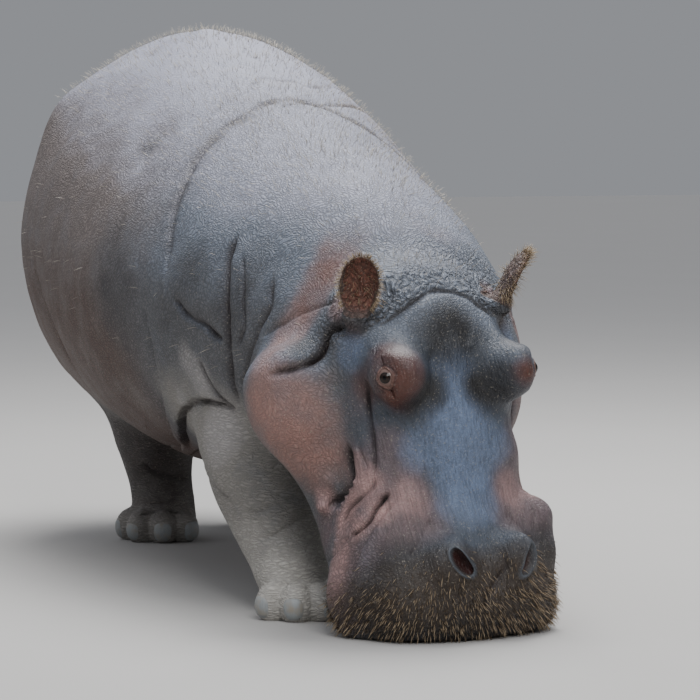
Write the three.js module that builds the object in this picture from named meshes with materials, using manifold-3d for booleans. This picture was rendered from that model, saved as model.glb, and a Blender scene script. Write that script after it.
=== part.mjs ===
// A full-grown hippopotamus at life size, standing with its head lowered and its muzzle on the ground.
// Millimetres, +Z up. The animal faces -Y, so its left side is at +X. The origin is on the ground,
// under the middle of the animal's bounding box.
import * as THREE from "three";
import { mergeVertices } from "three/addons/utils/BufferGeometryUtils.js";
import Module from "manifold-3d";

const wasm = await Module();
wasm.setup();

// ---------------------------------------------------------------- driving sizes

const GAP = 0.35; // clearance left between two pieces that touch
const NECK_CUT_Y = -640; // where the trunk ends and the neck begins

// A loft's stations are rows of: centre x, y, z; half width; reach to the front or top; reach to the
// back or underside; squareness of the front half and of the back half (2 is an ellipse).

// From the rump to the shoulders, then down the neck into the back of the skull.
const TORSO = [
  [0, 1150, 790, 405, 420, 430, 1.9, 2.1],
  [0, 940, 800, 455, 490, 480, 1.9, 2.1],
  [-5, 680, 790, 485, 550, 520, 1.85, 2.1],
  [-10, 380, 750, 492, 545, 500, 1.85, 2.1],
  [-20, 60, 710, 478, 495, 480, 1.85, 2.15],
  [-30, -240, 690, 430, 440, 440, 1.8, 2.15],
  [-35, -500, 670, 375, 390, 400, 1.8, 2.1],
  [-25, -740, 645, 330, 345, 350, 1.85, 2.1],
  [-12, -900, 600, 300, 285, 320, 1.9, 2.1],
  [-5, -1000, 540, 270, 220, 290, 2, 2.1],
  [0, -1060, 460, 235, 180, 250, 2, 2],
  [0, -1100, 380, 200, 140, 200, 2, 2],
];

// The head is built level, facing -Y, with its origin on the crown between the ears.
const CROWN = [2, -1208, 755];
const HEAD_PITCH = 65; // degrees, nose down
const HEAD_YAW = 17; // degrees, towards the animal's left
const HEAD_ROLL = -2; // degrees, right side down

const SKULL = [
  [0, 130, -230, 190, 140, 190, 2.2, 2.2],
  [0, 0, -200, 216, 178, 200, 2.3, 2.2],
  [0, -110, -205, 216, 180, 200, 2.4, 2.2],
  [0, -210, -215, 204, 160, 190, 2.4, 2.2],
  [0, -310, -225, 198, 140, 160, 2.3, 2.2],
  [0, -390, -235, 204, 122, 165, 2.3, 2.6],
  [0, -450, -245, 220, 125, 175, 2.3, 3.2],
  [0, -510, -250, 241, 134, 185, 2.3, 3.6],
  [0, -580, -250, 245, 136, 185, 2.3, 3.6],
  [0, -670, -232, 231, 122, 165, 2.3, 3.2],
  [0, -770, -200, 192, 96, 145, 2.2, 2.8],
];
const JAW = [
  [0, 60, -330, 275, 185, 150, 2.5, 2.2],
  [0, -70, -350, 325, 205, 175, 2.5, 2.2],
  [0, -180, -350, 315, 185, 165, 2.4, 2.2],
  [0, -290, -365, 245, 130, 120, 2.2, 2.2],
  [0, -400, -380, 205, 90, 95, 2.2, 2.4],
  [0, -510, -375, 215, 90, 85, 2.2, 2.4],
  [0, -600, -355, 205, 80, 70, 2.2, 2.4],
  [0, -660, -340, 185, 60, 55, 2.2, 2.4],
];
const BROW = { x: 140, y: -186, z: -46, size: [62, 74, 70] }; // the bulge that carries the eye
const EYE = { x: 181, y: -195, z: -30, radius: 24 };
const NARES = { x: 86, y: -590, z: -125, size: [60, 62, 56] }; // the rise round each nostril
const NOSTRIL = { x: 90, y: -609, z: -74, size: [13, 30, 34], toe: 30 };

// Each ear stands on the crown's corner. Lean is how far its tip turns out from the midline.
const EAR = { x: 194, y: -26, z: -60, length: 140, width: 92, depth: 60, wall: 11 };
const EAR_ROOT = { size: [34, 32, 42], z: -14 }; // the fleshy stalk under each ear
const EAR_LEAN = { right: 6, left: 44 };

const TAIL = [
  [0, 1070, 1020, 62, 60, 60, 2, 2],
  [0, 1168, 910, 52, 42, 42, 2, 2],
  [0, 1192, 770, 42, 28, 28, 2, 2],
  [0, 1188, 620, 34, 18, 18, 2, 2],
];

// Each leg runs from the joint inside the body down to where its foot stands. Turn is the way the
// toes point, in degrees from straight ahead.
const LEGS = {
  fore_right: { joint: [-240, -420, 560], foot: [-216, -880], turn: -6 },
  fore_left: { joint: [215, -420, 560], foot: [220, -560], turn: 10 },
  hind_right: { joint: [-170, 680, 600], foot: [-126, 600], turn: -38 },
  hind_left: { joint: [195, 760, 600], foot: [205, 820], turn: 14 },
};
const ANKLE_Z = 118; // the cut between leg and foot
// Rows of: height as a share of the way down, half width, reach forward, reach back.
const FORE_SHAPE = [
  [0, 120, 160, 170],
  [0.3, 130, 155, 170],
  [0.55, 122, 125, 145],
  [0.72, 98, 100, 108],
  [0.84, 86, 88, 90],
  [0.94, 86, 88, 88],
  [1.05, 88, 88, 88],
];
const HIND_SHAPE = [
  [0, 165, 230, 200],
  [0.3, 145, 190, 165],
  [0.55, 112, 130, 118],
  [0.72, 90, 98, 92],
  [0.84, 81, 86, 82],
  [0.94, 86, 88, 86],
  [1.05, 88, 88, 86],
];
const TOE_ANGLES = [-62, -21, 21, 62]; // degrees from the foot's own heading
const TOE = { out: 76, forward: 12, size: [37, 47, 46], z: 36 };
const NAIL = { out: 109, forward: 12, size: [25, 17, 28], z: 27 };

// ---------------------------------------------------------------- shape tools

const radians = THREE.MathUtils.degToRad;

// A closed skin over the stations, with rounded ends. Grow moves it outwards all round.
function loft(stations, { sides, rings, roundStart, roundEnd, grow = 0 }) {
  const centres = stations.map(([x, y, z]) => new THREE.Vector3(x, y, z));
  const along = [0];
  for (let i = 1; i < centres.length; i++)
    along.push(along[i - 1] + centres[i].distanceTo(centres[i - 1]));
  const length = along.at(-1);
  const spline = new THREE.CubicInterpolant(along, stations.flat(), stations[0].length);
  const at = (s) => Array.from(spline.evaluate(THREE.MathUtils.clamp(s, 0, length)));
  const centreAt = (s) => new THREE.Vector3(...at(s).slice(0, 3));

  // Rings crowd into the rounded ends and are even between them.
  const capRings = 4;
  const caps = Array.from({ length: capRings - 1 }, (_, i) => ((i + 1) / capRings) * (Math.PI / 2));
  const even = (i) => roundStart + ((length - roundStart - roundEnd) * i) / rings;
  const places = [
    ...caps.map((a) => [roundStart * (1 - Math.cos(a)), Math.sin(a)]),
    ...Array.from({ length: rings + 1 }, (_, i) => [even(i), 1]),
    ...caps.reverse().map((a) => [length - roundEnd * (1 - Math.cos(a)), Math.sin(a)]),
  ];

  const across = new THREE.Vector3(1, 0, 0);
  const bulge = (wave, square) => Math.sign(wave) * Math.abs(wave) ** (2 / square);
  const tip = (s, inside) =>
    centreAt(s).add(centreAt(s).sub(centreAt(inside)).setLength(grow || 1e-6));
  const points = [...tip(0, 5)];
  for (const [s, scale] of places) {
    const [, , , half, front, back, squareFront, squareBack] = at(s);
    const tangent = centreAt(s + 1).sub(centreAt(s - 1)).normalize();
    const forward = tangent.cross(across).normalize();
    for (let k = 0; k < sides; k++) {
      const turn = (2 * Math.PI * k) / sides;
      const ahead = Math.sin(turn) > 0;
      const square = ahead ? squareFront : squareBack;
      const sideways = bulge(Math.cos(turn), square) * (half * scale + grow);
      const fore = bulge(Math.sin(turn), square) * ((ahead ? front : back) * scale + grow);
      const point = centreAt(s).addScaledVector(across, sideways).addScaledVector(forward, fore);
      points.push(...point);
    }
  }
  points.push(...tip(length, length - 5));

  const faces = [];
  const last = points.length / 3 - 1;
  const ring = (r, k) => 1 + r * sides + (k % sides);
  for (let k = 0; k < sides; k++) {
    faces.push(0, ring(0, k + 1), ring(0, k));
    for (let r = 0; r + 1 < places.length; r++) {
      faces.push(ring(r, k), ring(r, k + 1), ring(r + 1, k));
      faces.push(ring(r, k + 1), ring(r + 1, k + 1), ring(r + 1, k));
    }
    faces.push(last, ring(places.length - 1, k), ring(places.length - 1, k + 1));
  }
  const geometry = new THREE.BufferGeometry();
  geometry.setAttribute("position", new THREE.Float32BufferAttribute(points, 3));
  geometry.setIndex(faces);
  return geometry;
}

function ball([x, y, z], size, segments, grow = 0) {
  return new THREE.SphereGeometry(1, segments, Math.round(segments * 0.6))
    .rotateX(Math.PI / 2)
    .scale(...size.map((n) => n + grow))
    .translate(x, y, z);
}

function toSolid(geometry) {
  const bare = geometry.clone();
  for (const name of ["normal", "uv"]) bare.deleteAttribute(name);
  const merged = mergeVertices(bare, 1e-3);
  return new wasm.Manifold(
    new wasm.Mesh({
      numProp: 3,
      vertProperties: merged.attributes.position.array,
      triVerts: new Uint32Array(merged.index.array),
    }),
  );
}

// The largest single body of a solid, as a geometry.
function toGeometry(solid) {
  const [largest] = solid.decompose().sort((a, b) => b.volume() - a.volume());
  const { vertProperties, triVerts } = largest.getMesh();
  const geometry = new THREE.BufferGeometry();
  geometry.setAttribute("position", new THREE.BufferAttribute(new Float32Array(vertProperties), 3));
  geometry.setIndex(new THREE.BufferAttribute(new Uint32Array(triVerts), 1));
  geometry.computeVertexNormals();
  return geometry;
}

const join = (...solids) => solids.reduce((all, next) => all.add(next));
const placed = (solid, matrix) => toSolid(toGeometry(solid).applyMatrix4(matrix));

// A block that fills everything on one side of a level, for trimming.
const REACH = 6000;
const blockBelow = (z) => toSolid(new THREE.BoxGeometry(REACH, REACH, REACH).translate(0, 0, z - REACH / 2));
const ground = blockBelow(0);
const blockAhead = (y) => toSolid(new THREE.BoxGeometry(REACH, REACH, REACH).translate(0, y - REACH / 2, 0));

// ---------------------------------------------------------------- finishes

const finish = (color, roughness) =>
  new THREE.MeshStandardMaterial({ color, roughness, metalness: 0 });
const backHide = finish(0x857b7f, 0.6);
const neckHide = finish(0x7f747b, 0.6);
const faceHide = finish(0x565963, 0.5);
const cheekHide = finish(0x86685f, 0.6);
const legHide = finish(0x857f79, 0.75);
const earHide = finish(0x93665a, 0.7);
const hoof = finish(0x8f8d88, 0.5);
const eyeball = finish(0x1c1412, 0.1);

const hippo = new THREE.Group();
function addPiece(parent, name, solid, material) {
  const mesh = new THREE.Mesh(toGeometry(solid), material);
  mesh.name = name;
  parent.add(mesh);
}

const sides = [["right", -1], ["left", 1]];

// ---------------------------------------------------------------- head

const head = new THREE.Group();
head.position.set(...CROWN);
head.rotation.set(radians(HEAD_PITCH), radians(HEAD_ROLL), radians(HEAD_YAW), "ZXY");
head.updateMatrix();
hippo.add(head);
const intoHead = head.matrix.clone().invert();

const torsoForm = (grow) =>
  toSolid(loft(TORSO, { sides: 26, rings: 15, roundStart: 400, roundEnd: 60, grow }));

function skullForm(grow) {
  const parts = [toSolid(loft(SKULL, { sides: 22, rings: 13, roundStart: 160, roundEnd: 75, grow }))];
  for (const [, out] of sides) {
    parts.push(toSolid(ball([out * BROW.x, BROW.y, BROW.z], BROW.size, 12, grow)));
    parts.push(toSolid(ball([out * NARES.x, NARES.y, NARES.z], NARES.size, 9, grow)));
  }
  return join(...parts);
}

const jawForm = (grow) =>
  toSolid(loft(JAW, { sides: 18, rings: 8, roundStart: 120, roundEnd: 60, grow }));

function eyeForm(out, grow) {
  const { x, y, z, radius } = EYE;
  return toSolid(ball([out * x, y, z], [radius, radius, radius], 10, grow));
}

// A slanting slot through the top of the muzzle.
function nostrilHole(out) {
  const { x, y, z, size, toe } = NOSTRIL;
  const slot = ball([0, 0, 0], size, 8).rotateZ(out * radians(toe)).translate(out * x, y, z);
  return toSolid(slot);
}

// A cupped leaf that stands on its tip's opposite end, open to the front.
function earForm(out, lean) {
  const { x, y, z, length, width, depth, wall } = EAR;
  const half = [width / 2, depth / 2, length / 2];
  const outer = ball([0, 0, length * 0.4], half, 10);
  const root = ball([0, depth * 0.1, EAR_ROOT.z], EAR_ROOT.size, 8);
  const hollow = ball([0, -depth * 0.45, length * 0.43], half.map((n) => n - wall), 10);
  const stand = new THREE.Matrix4().makeRotationFromEuler(
    new THREE.Euler(radians(-48), radians(out * lean), radians(out * 28), "YXZ"),
  );
  stand.setPosition(out * x, y, z);
  return placed(toSolid(outer).subtract(toSolid(hollow)).add(toSolid(root)), stand);
}

let headSolid = skullForm(0);
const earless = join(skullForm(GAP), placed(torsoForm(GAP), intoHead));
for (const [side, out] of sides) {
  headSolid = headSolid.subtract(eyeForm(out, GAP)).subtract(nostrilHole(out));
  addPiece(head, `eye_${side}`, eyeForm(out, 0), eyeball);
  addPiece(head, `ear_${side}`, earForm(out, EAR_LEAN[side]).subtract(earless), earHide);
}
const groundUnderHead = placed(ground, intoHead);
addPiece(head, "head", headSolid.subtract(groundUnderHead), faceHide);
const jaw = jawForm(0).subtract(skullForm(GAP)).subtract(groundUnderHead);
addPiece(head, "lower_jaw", jaw, cheekHide);

// ---------------------------------------------------------------- trunk, neck and tail

const headSpace = placed(join(skullForm(GAP), jawForm(GAP)), head.matrix);
addPiece(hippo, "trunk", torsoForm(0).subtract(blockAhead(NECK_CUT_Y + GAP)), backHide);
const neck = torsoForm(0).intersect(blockAhead(NECK_CUT_Y)).subtract(headSpace);
addPiece(hippo, "neck", neck, neckHide);

const tail = toSolid(loft(TAIL, { sides: 10, rings: 6, roundStart: 40, roundEnd: 20 }));
addPiece(hippo, "tail", tail.subtract(torsoForm(GAP)), backHide);

// ---------------------------------------------------------------- legs and feet

const bodySpace = join(torsoForm(GAP), headSpace);

function legForm(shape, joint, foot) {
  const from = new THREE.Vector3(...joint);
  const to = new THREE.Vector3(...foot, 0);
  const stations = shape.map(([share, half, front, back]) => {
    const level = THREE.MathUtils.lerp(from.z, 0, share);
    const drawn = Math.min(1, share / 0.94) ** 1.1;
    const x = THREE.MathUtils.lerp(from.x, to.x, drawn);
    const y = THREE.MathUtils.lerp(from.y, to.y, drawn);
    return [x, y, level, half, front, back, 2, 2];
  });
  return toSolid(loft(stations, { sides: 12, rings: 7, roundStart: 60, roundEnd: 4 }));
}

// One ball for each toe, set round the front of the foot.
function toeForms({ out, forward, size, z }, [x, y], turn, grow = 0) {
  return TOE_ANGLES.map((angle) => {
    const spread = radians(angle);
    const toe = ball([0, 0, 0], size, 7, grow).rotateZ(spread);
    toe.translate(out * Math.sin(spread), -out * Math.cos(spread) - forward, z);
    return toSolid(toe.rotateZ(radians(turn)).translate(x, y, 0));
  });
}

for (const [name, { joint, foot, turn }] of Object.entries(LEGS)) {
  const [end, side] = name.split("_");
  const limb = legForm(end === "fore" ? FORE_SHAPE : HIND_SHAPE, joint, foot);
  const shank = limb.subtract(blockBelow(ANKLE_Z)).subtract(bodySpace);
  addPiece(hippo, `${end}leg_${side}`, shank, legHide);
  const sole = join(limb.intersect(blockBelow(ANKLE_Z - GAP)), ...toeForms(TOE, foot, turn));
  addPiece(hippo, `${end}foot_${side}`, sole.subtract(ground), legHide);
  const toeSpace = toeForms(TOE, foot, turn, GAP);
  toeForms(NAIL, foot, turn).forEach((nail, i) => {
    const seated = nail.subtract(toeSpace[i]).subtract(ground);
    addPiece(hippo, `nail_${end}_${side}_${i + 1}`, seated, hoof);
  });
}

// ---------------------------------------------------------------- frame

const middle = new THREE.Box3().setFromObject(hippo, true).getCenter(new THREE.Vector3());
hippo.position.set(-middle.x, -middle.y, 0);

export default hippo;
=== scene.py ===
# Dresses the hippopotamus model: one skin over the flesh, eyes, nails, bristles, floor, light, camera.
import math
import bmesh
import bpy
import numpy as np
from mathutils import Matrix, Vector, noise
from mathutils.bvhtree import BVHTree


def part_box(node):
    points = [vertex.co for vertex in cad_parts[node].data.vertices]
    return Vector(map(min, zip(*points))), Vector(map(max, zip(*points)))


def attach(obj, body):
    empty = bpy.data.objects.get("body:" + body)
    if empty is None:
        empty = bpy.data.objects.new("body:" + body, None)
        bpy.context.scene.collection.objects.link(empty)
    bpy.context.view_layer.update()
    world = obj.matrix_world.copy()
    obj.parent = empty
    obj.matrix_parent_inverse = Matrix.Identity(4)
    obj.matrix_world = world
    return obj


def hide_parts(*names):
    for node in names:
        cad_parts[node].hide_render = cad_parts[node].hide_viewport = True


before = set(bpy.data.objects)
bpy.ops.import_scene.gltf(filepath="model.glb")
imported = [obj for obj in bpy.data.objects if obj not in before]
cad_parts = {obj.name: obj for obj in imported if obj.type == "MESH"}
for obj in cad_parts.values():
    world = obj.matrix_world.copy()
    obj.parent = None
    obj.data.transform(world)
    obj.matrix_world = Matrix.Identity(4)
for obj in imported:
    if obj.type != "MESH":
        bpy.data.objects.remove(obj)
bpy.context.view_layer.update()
mm = 0.001
dice = np.random.default_rng(7)
noise.seed_set(7)  # left alone, Blender seeds its vector noise from the clock
print("frame loaded")


def placed(name, data):
    thing = bpy.data.objects.new(name, data)
    bpy.context.scene.collection.objects.link(thing)
    return thing


# Camera, and a way to find the point of the skin that a pixel shows

camera = {
    "place": (-2.660, -8.633, 1.170),
    "heading": 18.115,  # degrees from +Y towards +X
    "downTilt": 4.0,
    "lens": 190.286, "sensor": 36,  # mm
    "frameWidth": 700,  # pixels
    "searchFrom": 7.0, "searchTo": 11.0, "searchStep": 0.02,  # metres along a line of sight
}

heading, tilt = math.radians(camera["heading"]), math.radians(camera["downTilt"])
lookWay = np.array([math.sin(heading) * math.cos(tilt), math.cos(heading) * math.cos(tilt), -math.sin(tilt)])
rightWay = np.array([math.cos(heading), -math.sin(heading), 0.0])
upWay = np.cross(rightWay, lookWay)
focalPixels = camera["lens"] / camera["sensor"] * camera["frameWidth"]

cameraData = bpy.data.cameras.new("camera")
cameraData.lens = camera["lens"]
cameraData.sensor_width = camera["sensor"]
cameraData.clip_end = 100
cameraObject = placed("camera", cameraData)
cameraObject.location = camera["place"]
cameraObject.rotation_euler = Vector(lookWay).to_track_quat("-Z", "Y").to_euler()
bpy.context.scene.camera = cameraObject


def pixelPoint(tree, pixel):
    half = camera["frameWidth"] / 2
    way = lookWay + rightWay * (pixel[0] - half) / focalPixels + upWay * (half - pixel[1]) / focalPixels
    way = Vector(way).normalized()
    hit = tree.ray_cast(Vector(camera["place"]), way)[0]
    if hit is None:  # just outside the outline: the skin's nearest point to the line of sight
        reaches = np.arange(camera["searchFrom"], camera["searchTo"], camera["searchStep"])
        steps = [Vector(camera["place"]) + way * reach for reach in reaches]
        hit = min((tree.find_nearest(step) for step in steps), key=lambda found: found[3])[0]
    return np.array(hit)


# Small tools for meshes held as arrays


def smoothStep(low, high, value):
    t = np.clip((value - low) / (high - low), 0, 1)
    return t * t * (3 - 2 * t)


def hump(distance, width):
    return np.exp(-((distance / width) ** 2))


def newObject(name, points, faces):
    mesh = bpy.data.meshes.new(name)
    mesh.from_pydata(np.asarray(points).tolist(), [], faces)
    return placed(name, mesh)


def readOut(items, field, width, kind=float):
    flat = np.empty(len(items) * width, kind)
    items.foreach_get(field, flat)
    return flat.reshape(-1, width)


def pointsOf(mesh):
    return readOut(mesh.vertices, "co", 3)


def edgesOf(mesh):
    return readOut(mesh.edges, "vertices", 2, int)


def trianglesOf(mesh):
    mesh.calc_loop_triangles()
    return readOut(mesh.loop_triangles, "vertices", 3, int)


def normalsOf(mesh):
    return readOut(mesh.vertex_normals, "vector", 3)


def setPoints(mesh, points):
    mesh.vertices.foreach_set("co", np.ascontiguousarray(points).ravel())
    mesh.update()


def shadeSmooth(mesh):
    mesh.polygons.foreach_set("use_smooth", [True] * len(mesh.polygons))


def treeOf(points, mesh):
    return BVHTree.FromPolygons(points.tolist(), trianglesOf(mesh).tolist())


def length(vectors):
    return np.linalg.norm(vectors, axis=-1)


def unitOf(vectors):
    return vectors / np.linalg.norm(vectors, axis=-1, keepdims=True)


def saveMask(mesh, name, values, kind="FLOAT", field="value"):
    mesh.attributes.new(name, kind, "POINT").data.foreach_set(field, np.ravel(values).astype(np.float32))


def neighbourMean(values, edges):
    first, second = edges.T
    size = len(values)
    count = np.bincount(first, minlength=size) + np.bincount(second, minlength=size)
    flat = values.reshape(size, -1)
    total = [np.bincount(first, column[second], size) + np.bincount(second, column[first], size)
             for column in flat.T]
    return (np.stack(total, 1) / count[:, None]).reshape(values.shape)


def relax(values, edges, strength, rounds):
    pull = strength if np.isscalar(strength) or values.ndim == 1 else strength[:, None]
    for _ in range(rounds):
        values = values + pull * (neighbourMean(values, edges) - values)
    return values


def remeshed(thing, voxel):
    remesh = thing.modifiers.new("remesh", "REMESH")
    remesh.mode = "VOXEL"
    remesh.voxel_size = voxel
    shaped = thing.evaluated_get(bpy.context.evaluated_depsgraph_get())
    mesh = bpy.data.meshes.new_from_object(shaped)
    bpy.data.objects.remove(thing)
    return mesh


def refined(mesh, chosen):
    work = bmesh.new()
    work.from_mesh(mesh)
    edges = [edge for edge in work.edges if chosen[edge.verts[0].index] and chosen[edge.verts[1].index]]
    bmesh.ops.subdivide_edges(work, edges=edges, cuts=1, use_grid_fill=True)
    bmesh.ops.triangulate(work, faces=[face for face in work.faces if len(face.verts) > 4])
    work.to_mesh(mesh)
    work.free()


# The head's own axes: x to its left, y back from the nose, z up from the brow

headPlace = {"crown": (0.01157, -1.10970, 0.755), "yaw": 17, "pitch": 65, "roll": -2}
headTurn = np.array(
    Matrix.Rotation(math.radians(headPlace["yaw"]), 3, "Z")
    @ Matrix.Rotation(math.radians(headPlace["pitch"]), 3, "X")
    @ Matrix.Rotation(math.radians(headPlace["roll"]), 3, "Y")
)
acrossHead = np.array([-1, 1, 1])


def toHead(points):
    return (points - headPlace["crown"]) @ headTurn


def fromHead(points):
    return np.asarray(points) @ headTurn.T + headPlace["crown"]


eyes = {side: sum(np.array(corner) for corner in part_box("eye_" + side)) / 2 for side in ("right", "left")}
sides = {"right": acrossHead, "left": np.array([1, 1, 1])}

# The flesh of the frame as one soft form

# How far each part is evened out, in millimetres.
softness = {
    "trunk": 52, "neck": 40, "head": 20, "lower_jaw": 26, "tail": 12,
    "foreleg": 26, "hindleg": 26, "forefoot": 8, "hindfoot": 8,
}
bodyForm = {
    "voxel": 11 * mm, "rounds": 90, "skinVoxel": 6 * mm,
    "earRoot": (140, -186, -46), "rootHollow": (58, 125), "rootSoftness": 34,  # mm, in the head's axes
}

fleshNodes = [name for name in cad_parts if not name.startswith(("eye", "nail"))]
bodyNodes = [name for name in fleshNodes if not name.startswith("ear")]


def gathered(names):
    points, faces, owners, start = [], [], [], 0
    for name in names:
        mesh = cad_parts[name].data
        points.append(pointsOf(mesh))
        faces.append(trianglesOf(mesh) + start)
        owners += [name] * len(faces[-1])
        start += len(points[-1])
    return np.concatenate(points), np.concatenate(faces).tolist(), owners


cadPoints, cadFaces, cadOwners = gathered(bodyNodes + ["eye_right", "eye_left"])
cadTree = BVHTree.FromPolygons(cadPoints.tolist(), cadFaces)
mesh = remeshed(newObject("form", cadPoints, cadFaces), bodyForm["voxel"])
points, edges = pointsOf(mesh), edgesOf(mesh)
owner = [cadOwners[cadTree.find_nearest(Vector(p))[2]] for p in points]
reach = np.array([softness.get(name, softness.get(name.split("_")[0], 20)) for name in owner]) * mm
for side in (-1, 1):
    away = length(points - fromHead(np.array(bodyForm["earRoot"]) * (side, 1, 1) * mm)) / mm
    inHollow = (away > bodyForm["rootHollow"][0]) & (away < bodyForm["rootHollow"][1])
    reach = np.where(inHollow, np.maximum(reach, bodyForm["rootSoftness"] * mm), reach)
strength = 0.5 * np.clip((reach / bodyForm["voxel"]) ** 2 / (0.25 * bodyForm["rounds"]), 0, 1)
strength = relax(strength, edges, 0.5, 12)
points = relax(points, edges, strength, bodyForm["rounds"])
setPoints(mesh, points)
print("soft form", len(points))

# The ears join the soft form, and all of it is remeshed finer as one skin.
earPoints, earFaces, _ = gathered(["ear_right", "ear_left"])
allFaces = trianglesOf(mesh).tolist() + (np.array(earFaces) + len(points)).tolist()
mesh = remeshed(newObject("form", np.concatenate([points, earPoints]), allFaces), bodyForm["skinVoxel"])
setPoints(mesh, relax(pointsOf(mesh), edgesOf(mesh), 0.5, 5))
print("skin", len(mesh.vertices))

# Finer where the face, the ears and the feet need it

points = pointsOf(mesh)
spots = toHead(points) / mm
fine = {"behindBrow": 60, "belowCrown": -420, "foot": 0.2, "eye": 70, "nostril": 80, "nostrilAt": (92, -600, -75)}
isFoot = points[:, 2] < fine["foot"]
refined(mesh, (spots[:, 1] < fine["behindBrow"]) & (spots[:, 2] > fine["belowCrown"]) | isFoot)
points, edges = pointsOf(mesh), edgesOf(mesh)
points = relax(points, edges, 0.5 * smoothStep(90, 30, toHead(points)[:, 1] / mm), 3)
setPoints(mesh, points)
closeUps = [(eyes[side], fine["eye"]) for side in sides]
closeUps += [(fromHead(np.array(fine["nostrilAt"]) * sides[side] * mm), fine["nostril"]) for side in sides]
refined(mesh, np.any([length(points - place) < size * mm for place, size in closeUps], axis=0))
points, edges = pointsOf(mesh), edgesOf(mesh)
print("refined skin", len(points))

# Ears: a deep cup with a ridge down its back, in front of a thin curved wall

ear = {
    "out": 194, "back": -26, "down": -60, "tip": -48, "turn": 28, "lean": {"right": 6, "left": 44},
    "hairs": 800, "hairLength": {"right": (8, 19), "left": (12, 30)}, "hairWidth": (0.8, 1.3),
    "centre": 56, "halfWidth": 46, "halfDepth": 30, "halfHeight": 70,
    "wall": 7, "cupEdge": 0.93, "ridge": 10, "ridgeWidth": 8,
}
earFrames = {}
cupShade, rimShade, earShade = np.zeros((3, len(points)))


def inEar(places, side):
    turn, root = earFrames[side]
    return (places - root) @ turn / mm


for side, mirror in sides.items():
    sign = mirror[0]
    turn = headTurn @ np.array(
        Matrix.Rotation(math.radians(sign * ear["lean"][side]), 3, "Y")
        @ Matrix.Rotation(math.radians(ear["tip"]), 3, "X")
        @ Matrix.Rotation(math.radians(sign * ear["turn"]), 3, "Z")
    )
    root = fromHead(np.array([sign * ear["out"], ear["back"], ear["down"]]) * mm)
    earFrames[side] = (turn, root)
    local = inEar(points, side)
    across, deep, tall = local.T.copy()
    oval = np.hypot(across / ear["halfWidth"], (tall - ear["centre"]) / ear["halfHeight"])
    facing = normalsOf(mesh) @ turn[:, 1] < 0.25
    chosen = np.flatnonzero((oval < 1.25) & (np.abs(deep) < 60) & (tall > -12))
    share = np.where(facing, smoothStep(ear["cupEdge"] + 0.05, ear["cupEdge"] - 0.12, oval), 0)
    share = share * smoothStep(-8, 14, tall)
    backWall = ear["halfDepth"] * np.sqrt(np.clip(1 - oval**2, 0.03, 1))
    ridge = ear["ridge"] * hump(across + sign * 6, ear["ridgeWidth"]) * smoothStep(100, 60, tall)
    target = backWall - ear["wall"] - ridge
    local[:, 1] = np.where(share > 0, deep * (1 - share) + target * share, deep)
    points[chosen] = root + (local[chosen] * mm) @ turn.T
    inReach = (np.abs(deep) < 60) & (tall > -12) & (oval < 1.3)
    earShade = np.maximum(earShade, smoothStep(1.3, 1.1, oval) * inReach)
    cupShade = np.maximum(cupShade, share * inReach)
    rimShade = np.maximum(rimShade, hump(oval - 0.97, 0.1) * inReach * smoothStep(10, 30, tall))
points = relax(points, edges, 0.4 * (earShade > 0), 2)
print("ears")

# Toes: four rounded toes round the front of each foot

# Where the foot stands and how its heading is turned, in metres and degrees.
feet = {
    "fore_right": (-0.2064, -0.7817, -6), "fore_left": (0.2296, -0.4617, 10),
    "hind_right": (-0.1164, 0.6983, -38), "hind_left": (0.2146, 0.9183, 14),
}
# The shoulder or hip joint over each foot.
joints = {
    "fore_right": (-0.2304, -0.3217, 0.56), "fore_left": (0.2246, -0.3217, 0.56),
    "hind_right": (-0.1604, 0.7783, 0.60), "hind_left": (0.2046, 0.8583, 0.60),
}
toe = {
    "angles": (-62, -21, 21, 62), "out": 76, "forward": 12, "size": (38, 49, 47), "height": 36, "reach": 80,
    "blend": 9,  # how sharply the toe's ball meets the foot
}
toeFrames = []
for footX, footY, turned in feet.values():
    heading = math.radians(turned)
    for angle in toe["angles"]:
        angle = math.radians(turned + angle)
        outward = np.array([math.sin(angle), -math.cos(angle), 0])
        forward = np.array([math.sin(heading), -math.cos(heading), 0])
        middle = np.array([footX, footY, toe["height"] * mm])
        middle = middle + outward * toe["out"] * mm + forward * toe["forward"] * mm
        turn = np.array([[-outward[1], outward[0], 0], outward, [0, 0, 1]])
        toeFrames.append((middle, turn))
        chosen = np.flatnonzero(length(points - middle) < toe["reach"] * mm)
        unit = (points[chosen] - middle) @ turn.T / mm / toe["size"]
        size = length(unit)
        wanted = (size ** toe["blend"] + 1) ** (1 / toe["blend"])
        wanted = np.where(unit[:, 1] > -0.4, wanted, size)
        points[chosen] = middle + (unit * (wanted / size)[:, None] * toe["size"] * mm) @ turn
points[:, 2] = np.maximum(points[:, 2], 0)
setPoints(mesh, points)
print("toes")

# Folds and forms drawn on the skin

formTree = treeOf(points, mesh)
smoothNormals = unitOf(relax(normalsOf(mesh), edges, 0.6, 6))


def onSkin(place):
    return np.array(formTree.find_nearest(Vector(place))[0])


def acrossBody(places, kind):
    if kind == "head":
        return [onSkin(fromHead(toHead(place) * acrossHead)) for place in places]
    return [onSkin(place * acrossHead) for place in places]


def curved(corners, spacing):
    corners = np.asarray(corners)
    guide = np.vstack([2 * corners[0] - corners[1], corners, 2 * corners[-1] - corners[-2]])
    pieces = []
    for a, b, c, d in zip(guide, guide[1:], guide[2:], guide[3:]):
        steps = max(2, int(np.linalg.norm(c - b) / spacing))
        t = np.arange(steps)[:, None] / steps
        pieces.append(0.5 * (2 * b + (c - a) * t + (2 * a - 5 * b + 4 * c - d) * t**2
                             + (3 * b - a - 3 * c + d) * t**3))
    return np.vstack(pieces + [corners[-1:]])


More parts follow.
